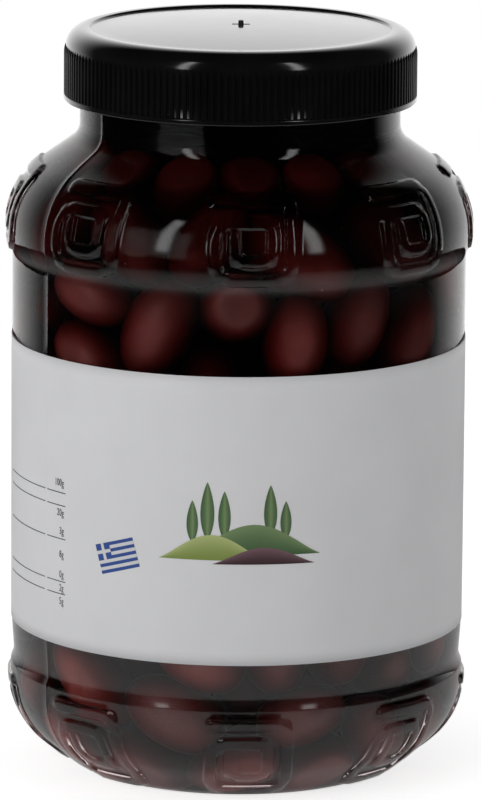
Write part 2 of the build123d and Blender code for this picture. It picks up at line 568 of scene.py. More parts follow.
@dataclass(frozen=True)
class OliveSkin(Finish):
    """Dull red-brown olive skin, each olive in its own tone, with paler worn spots."""

    tones: tuple[tuple[float, Colour], ...] = (
        (0.0, (0.045, 0.009, 0.009)),
        (0.4, (0.12, 0.024, 0.021)),
        (0.75, (0.19, 0.038, 0.032)),
        (1.0, (0.27, 0.068, 0.054)),
    )
    drift_share: float = 0.45
    roughness: float = 0.42
    refraction: float = 1.4
    grain_depth: float = 0.1 * MM

    def build(self, effects: Effects) -> bpy.types.Material:
        """Makes the material."""
        material, wiring, shader, place = self.start()
        tone = wiring.node("ShaderNodeAttribute", attribute_name="tone")
        drift = self.effect(wiring, effects.mottle, place, Scale=110.0, Contrast=1.5)
        own = wiring.math("MULTIPLY", tone.outputs["Fac"], 1 - self.drift_share)
        mixed = wiring.math("MULTIPLY_ADD", drift, self.drift_share, own)
        wiring.join(wiring.ramp(mixed, self.tones), shader.inputs["Base Color"])
        shader.inputs["Roughness"].default_value = self.roughness
        shader.inputs["IOR"].default_value = self.refraction
        skin_grain = self.effect(wiring, effects.grain, place, Scale=700.0, Coarse_Share=0.5)
        self.bump(wiring, skin_grain, shader, self.grain_depth)
        return material


@dataclass(frozen=True)
class LidPlastic(Finish):
    """Black moulded plastic, glossy, with faint moulding rings on its top."""

    colour: Colour = (0.004, 0.004, 0.0045)
    coat: float = 1.0
    gloss: float = 0.5
    roughness: float = 0.10
    roughness_drift: float = 0.10
    refraction: float = 1.5
    coat_roughness: float = 0.08
    ring_share: float = 0.35
    relief_depth: float = 0.012 * MM

    def build(self, effects: Effects) -> bpy.types.Material:
        """Makes the material."""
        material, wiring, shader, place = self.start()
        drift = self.effect(wiring, effects.mottle, place, Scale=70.0, Contrast=1.4)
        low = tuple(0.7 * c for c in self.colour)
        high = tuple(1.5 * c for c in self.colour)
        wiring.join(wiring.ramp(drift, [(0.2, low), (0.9, high)]), shader.inputs["Base Color"])
        rough = wiring.math("MULTIPLY_ADD", drift, self.roughness_drift, self.roughness)
        wiring.join(rough, shader.inputs["Roughness"])
        shader.inputs["IOR"].default_value = self.refraction
        shader.inputs["Specular IOR Level"].default_value = self.gloss
        shader.inputs["Coat Weight"].default_value = self.coat
        shader.inputs["Coat Roughness"].default_value = self.coat_roughness
        rings = wiring.node("ShaderNodeTexWave", wave_type="RINGS", rings_direction="Z")
        rings.inputs["Scale"].default_value = 24.0
        rings.inputs["Distortion"].default_value = 0.6
        wiring.join(place, rings.inputs["Vector"])
        grain = self.effect(wiring, effects.grain, place, Scale=1400.0, Coarse_Share=0.35)
        relief = wiring.math("MULTIPLY_ADD", rings.outputs["Fac"], self.ring_share, grain)
        self.bump(wiring, relief, shader, self.relief_depth)
        return material


@dataclass(frozen=True)
class LabelPaper(Finish):
    """Coated label paper with a faint fibre and soft unevenness."""

    colour: Colour = (0.785, 0.785, 0.80)
    ink_attribute: str = ""
    roughness: float = 0.42
    roughness_drift: float = 0.12
    fibre_depth: float = 0.02 * MM

    def build(self, effects: Effects) -> bpy.types.Material:
        """Makes the material, printed where an ink attribute is named."""
        material, wiring, shader, place = self.start()
        drift = self.effect(wiring, effects.mottle, place, Scale=55.0, Contrast=1.3)
        low = tuple(0.965 * c for c in self.colour)
        high = tuple(min(1.0, 1.03 * c) for c in self.colour)
        base = wiring.ramp(drift, [(0.1, low), (0.9, high)])
        if self.ink_attribute:
            ink = wiring.node("ShaderNodeAttribute", attribute_name=self.ink_attribute)
            shade = wiring.node("ShaderNodeMix", data_type="RGBA", blend_type="MULTIPLY")
            shade.inputs["Factor"].default_value = 1.0
            wiring.join(ink.outputs["Color"], shade.inputs["A"])
            wiring.join(wiring.ramp(drift, [(0.1, (0.9, 0.9, 0.9)), (0.9, (1, 1, 1))]), shade.inputs["B"])
            base = shade.outputs["Result"]
        wiring.join(base, shader.inputs["Base Color"])
        rough = wiring.math("MULTIPLY_ADD", drift, self.roughness_drift, self.roughness)
        wiring.join(rough, shader.inputs["Roughness"])
        fibre = self.effect(wiring, effects.grain, place, Scale=1500.0, Coarse_Share=0.45)
        self.bump(wiring, fibre, shader, self.fibre_depth)
        return material


@dataclass(frozen=True)
class AirBubble(Finish):
    """A small bubble seen through the brine: a glossy opaque speck whose pale colour is a painted glint,
    standing in for the light that a real bubble reflects.
    """

    # The two colours of the painted glint, dim and bright.
    dull: Colour = (0.35, 0.20, 0.18)
    bright: Colour = (0.75, 0.60, 0.55)
    roughness: float = 0.08
    refraction: float = 1.6

    def build(self) -> bpy.types.Material:
        """Makes the material."""
        material, wiring, shader, place = self.start()
        shader.inputs["Roughness"].default_value = self.roughness
        shader.inputs["IOR"].default_value = self.refraction
        noise = wiring.node("ShaderNodeTexNoise")
        noise.inputs["Scale"].default_value = 300.0
        wiring.join(place, noise.inputs["Vector"])
        # Painted glint: noise sets each spot between the dim and the bright painted reflection colour.
        tone = wiring.ramp(noise.outputs["Fac"], [(0.3, self.dull), (0.7, self.bright)])
        wiring.join(tone, shader.inputs["Base Color"])
        return material


# ---------------------------------------------------------------------------------------------
# Jar
# ---------------------------------------------------------------------------------------------


@dataclass
class Meander:
    """One raised key pattern: a squared spiral that winds in clockwise, seen from outside."""

    middle: float
    height: float
    width: float = 22.6 * MM
    stroke: float = 3.0 * MM
    gap: float = 1.9 * MM
    slope: float = 0.8 * MM
    raised: float = 0.8 * MM
    square: float = 2.5 * MM
    round: float = 4.5 * MM
    inner_round: float = 3.0 * MM
    side_rows: int = 5
    side_spread: float = 0.55

    def centreline(self) -> np.ndarray:
        """Points along the middle of the stroke."""
        step = self.stroke + self.gap
        x, y = (self.width - self.stroke) / 2, (self.height - self.stroke) / 2
        corners = [
            (-x, y, 0.0),
            (x, y, self.square),
            (x, -y, self.round),
            (-x, -y, self.round),
            (-x, y - step, self.round),
            (x - step, y - step, self.square),
            (x - step, step - y, self.inner_round),
            (step - x, step - y, self.inner_round),
            (step - x, y - step - self.stroke, 0.0),
        ]
        return Outline(corners, coarse=2 * MM, turn_step=math.radians(12)).rows()

    def sides(self, extent: float) -> np.ndarray:
        """Offsets from the middle that lie close together where strokes rise, and apart elsewhere.

        Args:
            extent: the whole width or height of the pattern.

        Returns:
            Sorted offsets in metres.
        """
        step = self.stroke + self.gap
        edges = [extent / 2 - step * turn - inset for turn in (0, 1) for inset in (0.0, self.stroke)]
        across = np.linspace(-self.side_spread, self.side_spread, self.side_rows) * self.slope
        close = [side * (edge + shift) for side in (-1, 1) for edge in edges for shift in across]
        between = [side * (edge - self.stroke / 2) for side in (-1, 1) for edge in edges[::2]]
        inner = edges[-1] - self.slope
        return np.unique(np.round([*close, *between, *np.linspace(-inner, inner, 5)], 7))

    def lift(self, x: np.ndarray, z: np.ndarray) -> np.ndarray:
        """Height of the relief at places seen flat from the front, in metres."""
        line = self.centreline()
        flat = np.stack([x, z], axis=-1)
        nearest = np.full(x.shape, np.inf)
        for start, end in zip(line, line[1:]):
            run = end - start
            share = np.clip(((flat - start) @ run) / max(run @ run, 1e-18), 0, 1)
            gap = np.linalg.norm(flat - (start + share[..., None] * run), axis=-1)
            nearest = np.minimum(nearest, gap)
        share = np.clip((self.stroke / 2 + self.slope / 2 - nearest) / self.slope, 0, 1)
        return self.raised * share * share * (3 - 2 * share)


@dataclass
class Jar:
    """Thin clear jar: foot, base, label wall, shoulder, neck and the raised meanders."""

    finish: ClearPlastic = ClearPlastic("Clear_Bottle_Plastic")
    wetted: ClearPlastic = ClearPlastic(
        "Clear_Plastic_Wetted", refraction=1.157, roughness=0.0, wave_depth=0.0
    )
    panel_radius: float = 59.3 * MM
    base_radius: float = 59.6 * MM
    shoulder_radius: float = 60.4 * MM
    groove_radius: float = 58.7 * MM
    neck_radius: float = 41.8 * MM
    land_radius: float = 43.6 * MM
    wall: float = 0.7 * MM
    push_up: float = 7.0 * MM
    foot_inner: float = 33.5 * MM
    heel_radius: float = 42.2 * MM
    cone_top: float = 14.6 * MM
    groove_height: float = 29.3 * MM
    shoulder_line: float = 136.6 * MM
    swell_top: float = 140.3 * MM
    shoulder_corner: float = 154.3 * MM
    neck_base: float = 167.81 * MM
    land_bottom: float = 178.51 * MM
    land_step: float = 1.8 * MM
    push_up_radius: float = 20.0 * MM
    push_up_round: float = 9.0 * MM
    foot_round: float = 3.0 * MM
    heel_round: float = 12.0 * MM
    base_round: float = 21.0 * MM
    groove_half: float = 2.0 * MM
    groove_lip_round: float = 1.6 * MM
    groove_round: float = 0.8 * MM
    taper: float = 8.0 * MM
    taper_round: float = 25.0 * MM
    line_round: float = 5.0 * MM
    swell_round: float = 20.0 * MM
    shoulder_round: float = 20.5 * MM
    neck_round: float = 6.0 * MM
    rim_round: float = 0.4 * MM
    panels: int = 8
    column_radius: float = 58.5 * MM
    sweep_radius: float = 50.0 * MM
    panel_turn: float = math.radians(3.5)
    parting_azimuths: tuple[float, ...] = (math.radians(-56), math.radians(124))
    parting_height: float = 0.16 * MM
    parting_width: float = 0.45 * MM
    parting_foot: float = 2.0 * MM
    meanders: tuple[Meander, ...] = (
        Meander(middle=149.45 * MM, height=22.3 * MM),
        Meander(middle=13.4 * MM, height=23.0 * MM),
    )

    def __post_init__(self) -> None:
        """Takes the rim's height from the frame."""
        self.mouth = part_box("jar")[1].z

    def corners(self) -> list[Corner]:
        """Corners of the jar's outside, from the middle of the base to the rim."""
        return [
            (0, self.push_up, 0),
            (self.push_up_radius, self.push_up, self.push_up_round),
            (self.foot_inner, 0, self.foot_round),
            (self.heel_radius, 0, self.heel_round),
            (self.base_radius, self.cone_top, self.base_round),
            (self.base_radius, self.groove_height - self.groove_half, self.groove_lip_round),
            (self.groove_radius, self.groove_height, self.groove_round),
            (self.panel_radius, self.groove_height + self.taper, self.taper_round),
            (self.panel_radius, self.shoulder_line, self.line_round),
            (self.shoulder_radius, self.swell_top, self.swell_round),
            (self.shoulder_radius, self.shoulder_corner, self.shoulder_round),
            (self.neck_radius, self.neck_base, self.neck_round),
            (self.neck_radius, self.land_bottom, self.rim_round),
            (self.land_radius, self.land_bottom + self.land_step, self.rim_round),
            (self.land_radius, self.mouth, self.rim_round),
            (0, self.mouth, 0),
        ]

    def inside(self, amount: float) -> list[Corner]:
        """Corners of a surface under the outside by amount, from the base up to the neck's ring."""
        moved = moved_out(self.corners(), -amount)
        return moved[: len(moved) - 4]

    def columns(self) -> np.ndarray:
        """Azimuths that are close together across the meanders and wide apart between them."""
        pitch = 2 * math.pi / self.panels
        meander = self.meanders[0]
        across = np.arcsin(meander.sides(meander.width) / self.column_radius)
        half = self.relief_half()
        between = np.linspace(half, pitch - half, 10)
        turns = [self.panel_turn + pitch * k + a for k in range(self.panels) for a in (*across, *between)]
        step = self.parting_width / self.panel_radius
        for azimuth in self.parting_azimuths:
            turns += [azimuth + step * share for share in (-1.0, -0.5, 0.0, 0.5, 1.0)]
        wrapped = np.sort(np.mod(np.array(turns), 2 * math.pi))
        keep = np.concatenate([[True], np.diff(wrapped) > 1e-5])
        return wrapped[keep]

    def relief_half(self) -> float:
        """Half the angle that a meander and a little beside it takes at the columns' own radius."""
        meander = self.meanders[0]
        return math.asin((meander.width / 2 + 2 * meander.slope) / self.column_radius)

    def swept(self, azimuth: np.ndarray, radius: np.ndarray) -> np.ndarray:
        """Turns the columns so that they keep to the sides of the strokes where the jar narrows.

        Args:
            azimuth: azimuth of each column, set for the columns' own radius.
            radius: radius at each point.

        Returns:
            The azimuth at each point.
        """
        pitch, half = 2 * math.pi / self.panels, self.relief_half()
        offset = np.mod(azimuth - self.panel_turn + pitch / 2, pitch) - pitch / 2
        share = self.column_radius / np.maximum(radius, self.sweep_radius)
        within = np.arcsin(share * np.sin(np.clip(offset, -half, half)))
        edge = np.arcsin(share * math.sin(half))
        beyond = np.clip(np.abs(offset) - half, 0, None) * (pitch / 2 - edge) / (pitch / 2 - half)
        return azimuth - offset + within + np.sign(offset) * beyond

    def relief(self, azimuth: np.ndarray, radius: np.ndarray, height: np.ndarray) -> np.ndarray:
        """How far the outside stands proud at each point: the meanders and the parting line."""
        pitch = 2 * math.pi / self.panels
        final = self.swept(azimuth, radius)
        offset = np.mod(final - self.panel_turn + pitch / 2, pitch) - pitch / 2
        across = radius * np.sin(offset)
        lift = np.zeros_like(radius)
        for meander in self.meanders:
            near = np.abs(across) < meander.width / 2 + meander.slope
            near &= np.abs(height - meander.middle) < meander.height / 2 + meander.slope
            near &= radius > self.foot_inner
            lift[near] = np.maximum(lift[near], meander.lift(across[near], height[near] - meander.middle))
        for azimuth_line in self.parting_azimuths:
            away = np.mod(azimuth - azimuth_line + math.pi, 2 * math.pi) - math.pi
            ridge = np.clip(1 - np.abs(away) * radius / self.parting_width, 0, 1)
            on_side = (height > self.parting_foot) & (height < self.land_bottom) & (radius > self.foot_inner)
            lift = np.maximum(lift, np.where(on_side, self.parting_height * ridge, 0))
        return lift

    def _mark_wetted(self, shell: bpy.types.Object) -> None:
        """Gives the inner wall up to the brine's level the finish of a surface that brine wets."""
        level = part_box("brine")[1].z
        for face in shell.data.polygons:
            centre, normal = face.center, face.normal
            inwards = normal.x * centre.x + normal.y * centre.y < 0
            upwards = normal.z > 0.5 and centre.z < self.cone_top
            within = centre.z < level and math.hypot(centre.x, centre.y) < self.shoulder_radius
            if within and (inwards or upwards):
                face.material_index = 1

    def build(self, effects: Effects) -> bpy.types.Object:
        """Builds the jar's shell and dresses it."""
        levels = [m.middle + offset for m in self.meanders for offset in m.sides(m.height)]
        outside = Outline(self.corners()[:-1]).rows(levels)
        under = self.inside(self.wall)
        bore = self.neck_radius - self.wall
        inner = [*under, (bore, self.land_bottom, 0), (bore, self.mouth, 0)][::-1]
        inside = Outline(inner, coarse=16 * MM, turn_step=math.radians(16), finest=1 * MM).rows()
        rows = np.concatenate([outside, inside])
        outer_count = len(outside)

        def raised(azimuth: np.ndarray, radius: np.ndarray, height: np.ndarray) -> np.ndarray:
            """Relief on the outside rows only."""
            lift = np.zeros_like(radius)
            outer = slice(0, outer_count)
            lift[outer] = self.relief(azimuth[outer], radius[outer], height[outer])
            return lift

        shell = turned("jar_shell", rows, self.columns(), raised=raised, swept=self.swept)
        shell.data.materials.append(self.finish.build(effects))
        shell.data.materials.append(self.wetted.build(effects))
        self._mark_wetted(shell)
        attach(shell, BODY)
        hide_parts("jar")
        return shell


# ---------------------------------------------------------------------------------------------
# Filling
# ---------------------------------------------------------------------------------------------


@dataclass
class Filling:
    """The brine and the olives packed in it."""

    jar: Jar
    brine: Brine = Brine("Dark_Brine")
    skin: OliveSkin = OliveSkin("Olive_Skin")
    bubble: AirBubble = AirBubble("Air_Bubble_Painted_Glint")
    into_wall: float = 0.2 * MM
    count: int = 292
    length: float = 26.5 * MM
    thickness: float = 17.8 * MM
    rounds: int = 160
    slack: float = 5.0 * MM
    slack_rise: float = 16.0 * MM
    wall_clear: float = 0.3 * MM
    size_range: tuple[float, float] = (0.88, 1.1)
    spread: tuple[float, float] = (0.02, 0.8)
    start_foot: float = 9.0 * MM
    start_neck: float = 6.0 * MM
    floor_clear: float = 1.5 * MM
    neck_clear: float = 1.0 * MM
    end_ball: float = 0.93
    end_reach: float = 0.95
    push_share: float = 0.3
    fullness: float = 0.92
    stem_point: float = 0.10
    pit_depth: float = 1.1 * MM
    pit_spread: float = 0.28
    bubbles: int = 70
    bubble_radius: float = 0.55 * MM
    seed: int = 11

    def __post_init__(self) -> None:
        """Takes the brine's level from the frame."""
        self.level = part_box("brine")[1].z

    def build_brine(self) -> bpy.types.Object:
        """Builds the brine, which reaches just into the jar's wall."""
        under = self.jar.inside(self.jar.wall - self.into_wall)
        edge = self.jar.neck_radius - self.jar.wall + self.into_wall
        surface = self.level - 1.2 * MM
        corners = [*under, (edge, self.level - 0.6 * MM, 0.5 * MM), (edge - 1.5 * MM, surface, 1 * MM)]
        corners += [(0, surface, 0)]
        rows = Outline(corners, coarse=8 * MM, turn_step=math.radians(6), finest=0.5 * MM).rows()
        piece = turned("brine_fill", rows, even_turn(160))
        piece.data.materials.append(self.brine.build())
        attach(piece, BODY)
        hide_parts("brine")
        return piece

    def _room(self) -> tuple[np.ndarray, np.ndarray]:
        """Heights and inner radii of the jar's side, for keeping olives inside."""
        rows = Outline(self.jar.inside(self.jar.wall + self.wall_clear), coarse=4 * MM).rows()
        side = rows[rows[:, 0] > self.jar.foot_inner]
        side = side[np.argsort(side[:, 1])]
        rise = np.clip((side[:, 1] - self.jar.shoulder_line) / self.slack_rise, 0, 1)
        return side[:, 1], side[:, 0] - self.slack * rise * rise * (3 - 2 * rise)

    def _settle(self) -> tuple[np.ndarray, np.ndarray, np.ndarray]:
        """Packs the olives as short chains of balls pushed apart and kept inside the jar.

        Returns:
            Centres, long axes and sizes (1 is the usual size) of the olives.
        """
        rng = np.random.default_rng(self.seed)
        heights, radii = self._room()
        low, high = heights[0] + self.start_foot, self.jar.neck_base - self.start_neck
        size = rng.uniform(*self.size_range, self.count)
        turn = rng.uniform(0, 2 * math.pi, self.count)
        out = self.jar.panel_radius * np.sqrt(rng.uniform(*self.spread, self.count))
        level = rng.uniform(low, high, self.count)
        centre = np.stack([out * np.cos(turn), out * np.sin(turn), level], axis=1)
        axis = rng.normal(size=(self.count, 3))
        axis /= np.linalg.norm(axis, axis=1, keepdims=True)
        reach = (self.length / 2 - self.thickness / 2) * self.end_reach
        offsets = np.array([-1.0, 0.0, 1.0]) * reach
        ball = np.array([self.end_ball, 1.0, self.end_ball]) * self.thickness / 2
        owner = np.repeat(np.arange(self.count), 3)
        radius = (size[:, None] * ball).ravel()
        same = owner[:, None] == owner[None, :]
        for _ in range(self.rounds):
            arms = axis[:, None] * (size[:, None] * offsets)[..., None]
            points = (centre[:, None] + arms).reshape(-1, 3)
            delta = points[:, None] - points[None]
            away = np.linalg.norm(delta, axis=-1) + 1e-9
            overlap = np.clip(radius[:, None] + radius[None] - away, 0, None)
            overlap[same] = 0
            push = (delta / away[..., None] * overlap[..., None]).sum(axis=1) * self.push_share
            points_new = points + push
            side = np.linalg.norm(points_new[:, :2], axis=1) + 1e-9
            limit = np.interp(points_new[:, 2], heights, radii) - radius
            scale = np.minimum(1.0, np.maximum(limit, 1 * MM) / side)
            points_new[:, :2] *= scale[:, None]
            floor = heights[0] + radius + self.floor_clear
            ceiling = self.jar.neck_base - self.neck_clear - radius
            points_new[:, 2] = np.clip(points_new[:, 2], floor, ceiling)
            moved = (points_new - points).reshape(self.count, 3, 3)
            centre = centre + moved.mean(axis=1)
            axis = axis + (moved[:, 2] - moved[:, 0]) / (2 * reach)
            axis /= np.linalg.norm(axis, axis=1, keepdims=True)
        return centre, axis, size

    def _olive_shape(self) -> bpy.types.Object:
        """One olive along its own Z: a full oval with a slight point and a stem pit."""
        rows = []
        for share in np.linspace(0, 1, 15):
            angle = math.pi * share
            full = math.sin(angle) ** self.fullness
            z = -math.cos(angle) * self.length / 2
            point = 1.0 - self.stem_point * max(0.0, math.cos(angle)) ** 3
            pit = self.pit_depth * math.exp(-((math.pi - angle) / self.pit_spread) ** 2)
            rows.append((full * self.thickness / 2 * point, z - pit))
        return turned("olive_shape", np.array(rows), even_turn(20))

    def _scatter_tree(self, material: bpy.types.Material) -> bpy.types.NodeTree:
        """Geometry tree that puts a shape at each point, turned and sized by its attributes."""
        inputs = (("Places", "Geometry"), ("Shape", "Object"))
        wiring = geometry_tree("Scatter", inputs, "Pieces")
        source, sink = wiring.tree.nodes["In"], wiring.tree.nodes["Out"]
        shape = wiring.node("GeometryNodeObjectInfo", transform_space="ORIGINAL")
        wiring.join(source.outputs["Shape"], shape.inputs["Object"])
        feeds = {"Points": source.outputs["Places"], "Instance": shape.outputs["Geometry"]}
        for label, attribute in (("Rotation", "turn"), ("Scale", "size")):
            stored = wiring.node("GeometryNodeInputNamedAttribute", data_type="FLOAT_VECTOR")
            stored.inputs["Name"].default_value = attribute
            feeds[label] = stored.outputs["Attribute"]
        wiring.join(wiring.instances(feeds, material), sink.inputs["Pieces"])
        return wiring.tree

    def _scatter(
        self,
        name: str,
        places: np.ndarray,
        turns: np.ndarray,
        sizes: np.ndarray,
        tones: np.ndarray,
        shape: bpy.types.Object,
        material: bpy.types.Material,
    ) -> bpy.types.Object:
        """Scatters one shape over places and returns the made piece, riding on the jar's body."""
        piece = new_object(name, places, [])
        for label, values in (("turn", turns), ("size", sizes)):
            made = piece.data.attributes.new(label, "FLOAT_VECTOR", "POINT")
            made.data.foreach_set("vector", values.astype(np.float32).ravel())
        tone = piece.data.attributes.new("tone", "FLOAT", "POINT")
        tone.data.foreach_set("value", tones.astype(np.float32))
        bake_tree(piece, self._scatter_tree(material), {"Shape": shape})
        bpy.data.objects.remove(shape)
        self._press_in(piece)
        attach(piece, BODY)
        return piece

    def _press_in(self, piece: bpy.types.Object) -> None:
        """Flattens what would reach past the jar's inside against it."""
        points = np.zeros(len(piece.data.vertices) * 3)
        piece.data.vertices.foreach_get("co", points)
        points = points.reshape(-1, 3)
        heights, radii = self._room()
        side = np.linalg.norm(points[:, :2], axis=1) + 1e-9
        limit = np.interp(points[:, 2], heights, radii)
        points[:, :2] *= np.minimum(1.0, limit / side)[:, None]
        piece.data.vertices.foreach_set("co", points.ravel())
        piece.data.update()

    def build_olives(self, effects: Effects) -> bpy.types.Object:
        """Builds all the olives as one piece."""
        centre, axis, size = self._settle()
        rng = np.random.default_rng(self.seed + 1)
        turns, sizes = [], []
        for direction, scale in zip(axis, size):
            turns.append(tuple(Vector(direction).to_track_quat("Z", "Y").to_euler()))
            wide = scale * rng.uniform(0.95, 1.04)
            sizes.append((wide, wide * rng.uniform(0.93, 1.0), scale * rng.uniform(0.92, 1.1)))
        tones = rng.uniform(0, 1, self.count)
        shape, skin = self._olive_shape(), self.skin.build(effects)
        return self._scatter("olives", centre, np.array(turns), np.array(sizes), tones, shape, skin)

    def build_bubbles(self) -> bpy.types.Object:
        """Builds the small bubbles that cling inside the wall."""
        rng = np.random.default_rng(self.seed + 2)
        heights, radii = self._room()
        z = rng.uniform(self.jar.cone_top, self.jar.neck_base - 4 * MM, self.bubbles)
        turn = rng.uniform(0, 2 * math.pi, self.bubbles)
        out = np.interp(z, heights, radii) - rng.uniform(0.5, 2.0, self.bubbles) * MM
        places = np.stack([out * np.cos(turn), out * np.sin(turn), z], axis=1)
        size = rng.uniform(0.25, 1.0, self.bubbles) ** 2
        sizes = np.stack([size, size, size * 0.9], axis=1)
        ball = self.bubble_radius
        half = [(ball * math.sin(a), -ball * math.cos(a)) for a in np.linspace(0, math.pi, 7)]
        shape = turned("bubble_shape", np.array(half), even_turn(10))
        zero = np.zeros((self.bubbles, 3))
        tones = rng.uniform(0, 1, self.bubbles)
        return self._scatter("bubbles", places, zero, sizes, tones, shape, self.bubble.build())


# ---------------------------------------------------------------------------------------------
# Lid
# ---------------------------------------------------------------------------------------------


@dataclass
class Lid:
    """Black screw lid: sunk disc, round crown, ribbed skirt, smooth lower edge and gate stub."""

    finish: LidPlastic = LidPlastic("Black_Lid_Plastic")
    rib_finish: LidPlastic = LidPlastic("Black_Rib_Plastic", coat=0.0, gloss=0.05, roughness=0.3)
    radius: float = 46.0 * MM
    bore: float = 44.1 * MM
    top: float = 1.8 * MM
    crown: float = 4.8 * MM
    skirt: float = 0.4 * MM
    disc_margin: float = 6.6 * MM
    disc_sink: float = 0.6 * MM
    flange: float = 1.3 * MM
    flange_proud: float = 0.1 * MM
    ribs: int = 160
    rib_depth: float = 0.45 * MM
    rib_root: float = 0.66 * MM
    rib_crest: float = 0.40 * MM
    tall: float = 18.6 * MM
    dome: float = 1.4 * MM
    gate_radius: float = 0.65 * MM
    flash_length: float = 4.6 * MM
    flash_height: float = 0.12 * MM
    flash_half: float = 0.16 * MM
    rib_end: tuple[tuple[float, float, float], ...] = (
        (-1.2 * MM, 1.0, 0.0),
        (-0.5 * MM, 0.8, -0.05 * MM),
        (0.2 * MM, 0.45, -0.22 * MM),
        (0.9 * MM, 0.10, -0.48 * MM),
    )

    def __post_init__(self) -> None:
        """Takes the lid's place from the frame and works out its levels."""
        low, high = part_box("lid")
        self.bottom, self.height = low.z, low.z + self.tall
        self.gate_top = high.z
        self.disc_level = self.height - self.disc_sink
        self.dome_level = self.disc_level + self.dome
        self.crown_base = self.height - self.crown - self.skirt

    def _shell(self) -> bpy.types.Object:
        """The turned body of the lid, hollow underneath."""
        ceiling = self.height - self.top
        valley = self.radius - self.rib_depth
        flange = self.radius + self.flange_proud
        disc = self.radius - self.disc_margin
        corners = [
            (0, ceiling, 0),
            (self.bore, ceiling, 0.5 * MM),
            (self.bore, self.bottom, 0.2 * MM),
            (flange, self.bottom, 0.35 * MM),
            (flange, self.bottom + self.flange, 0.4 * MM),
            (valley, self.bottom + self.flange + 0.3 * MM, 0.2 * MM),
            (valley, self.height, self.crown),
            (disc, self.height, 0.22 * MM),
            (disc - 0.35 * MM, self.disc_level, 0.3 * MM),
            (disc * 0.5, self.dome_level, disc * 12),
            (0, self.dome_level, 0),
        ]
        rows = Outline(corners, coarse=7 * MM, turn_step=math.radians(5), finest=0.06 * MM).rows()
        return turned("lid_shell", rows, even_turn(360))

    def _rib(self) -> bpy.types.Object:
        """One rib at its place on the +X side, its upper end drawn out to a point."""
        valley = self.radius - self.rib_depth
        low = self.bottom + self.flange - 0.1 * MM
        upper = [(self.crown_base + rise, width, inward) for rise, width, inward in self.rib_end]
        levels = [(low, 1.0, 0.0), *upper]
        section = [
            (-self.rib_root, -0.15 * MM),
            (-self.rib_crest, self.rib_depth * 0.97),
            (0.0, self.rib_depth),
            (self.rib_crest, self.rib_depth * 0.97),
            (self.rib_root, -0.15 * MM),
        ]
        vertices = [
            (valley + out + inward, side * width, z) for z, width, inward in levels for side, out in section
        ]
        count = len(section)
        faces = []
        for level in range(len(levels) - 1):
            for index in range(count):
                after = (index + 1) % count
                row, above = level * count, (level + 1) * count
                faces.append((row + index, row + after, above + after, above + index))
        faces.append(tuple(range(count))[::-1])
        faces.append(tuple(range((len(levels) - 1) * count, len(levels) * count)))
        return new_object("lid_ribs", np.array(vertices), faces, smooth=False)

    def _rib_tree(self, material: bpy.types.Material) -> bpy.types.NodeTree:
        """Geometry tree that repeats its input round the axis."""
        wiring = geometry_tree("Rib_Ring", (("Rib", "Geometry"), ("Count", "Int")), "Ribs")
        source, sink = wiring.tree.nodes["In"], wiring.tree.nodes["Out"]
        line = wiring.node("GeometryNodeMeshLine")
        line.inputs["Offset"].default_value = (0, 0, 0)
        wiring.join(source.outputs["Count"], line.inputs["Count"])
        turn = wiring.math("DIVIDE", 2 * math.pi, source.outputs["Count"])
        angle = wiring.math("MULTIPLY", wiring.node("GeometryNodeInputIndex").outputs[0], turn)
        around = wiring.node("ShaderNodeCombineXYZ")
        wiring.join(angle, around.inputs["Z"])
        feeds = {
            "Points": line.outputs["Mesh"],
            "Instance": source.outputs["Rib"],
            "Rotation": around.outputs["Vector"],
        }
        wiring.join(wiring.instances(feeds, material), sink.inputs["Ribs"])
        return wiring.tree

    def _gate(self) -> bpy.types.Object:
        """The stub and the thin flash line that the moulding gate leaves in the middle of the disc."""
        root = self.dome_level - 0.3 * MM
        crest = self.gate_top
        rows = Outline(
            [
                (0, root, 0),
                (self.gate_radius * 1.25, root, 0),
                (self.gate_radius, crest, 0.15 * MM),
                (0, crest - 0.1 * MM, 0),
            ],
            coarse=0.4 * MM,
            finest=0.05 * MM,
        ).rows()
        stub = turned("lid_gate", rows, even_turn(24))
        half, wide = self.flash_length / 2, self.flash_half
        high = self.dome_level + self.flash_height
        flash = [
            (x, y, z)
            for x in (-half, half)
            for y, z in ((-wide, root), (wide, root), (wide * 0.5, high), (-wide * 0.5, high))
        ]
        faces = [(0, 4, 5, 1), (1, 5, 6, 2), (2, 6, 7, 3), (3, 7, 4, 0), (0, 1, 2, 3), (7, 6, 5, 4)]
        line = new_object("flash", np.array(flash), faces, smooth=False)
        both = [stub, line]
        with bpy.context.temp_override(
            active_object=stub, object=stub, selected_objects=both, selected_editable_objects=both
        ):
            bpy.ops.object.join()
        return stub

    def build(self, effects: Effects) -> list[bpy.types.Object]:
        """Builds the lid's pieces and dresses them."""
        material = self.finish.build(effects)
        shell, gate = self._shell(), self._gate()
        shell.data.materials.append(material)
        gate.data.materials.append(material)
        ribs = bake_tree(self._rib(), self._rib_tree(self.rib_finish.build(effects)), {"Count": self.ribs})
        pieces = [shell, ribs, gate]
        for piece in pieces:
            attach(piece, BODY)
        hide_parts("lid")
        return pieces


# ---------------------------------------------------------------------------------------------
# Label
# ---------------------------------------------------------------------------------------------


class Ink(Enum):
    """Inks of the label's print."""

    BLACK = (0.018, 0.018, 0.020)
    BLUE = (0.028, 0.085, 0.34)
    WHITE = (0.74, 0.74, 0.755)
    LEAF = (0.055, 0.13, 0.045)
    LEAF_LIGHT = (0.20, 0.30, 0.13)
    FIELD = (0.22, 0.30, 0.06)
    FIELD_LIGHT = (0.48, 0.55, 0.22)
    EARTH = (0.045, 0.014, 0.020)
    EARTH_LIGHT = (0.20, 0.11, 0.13)


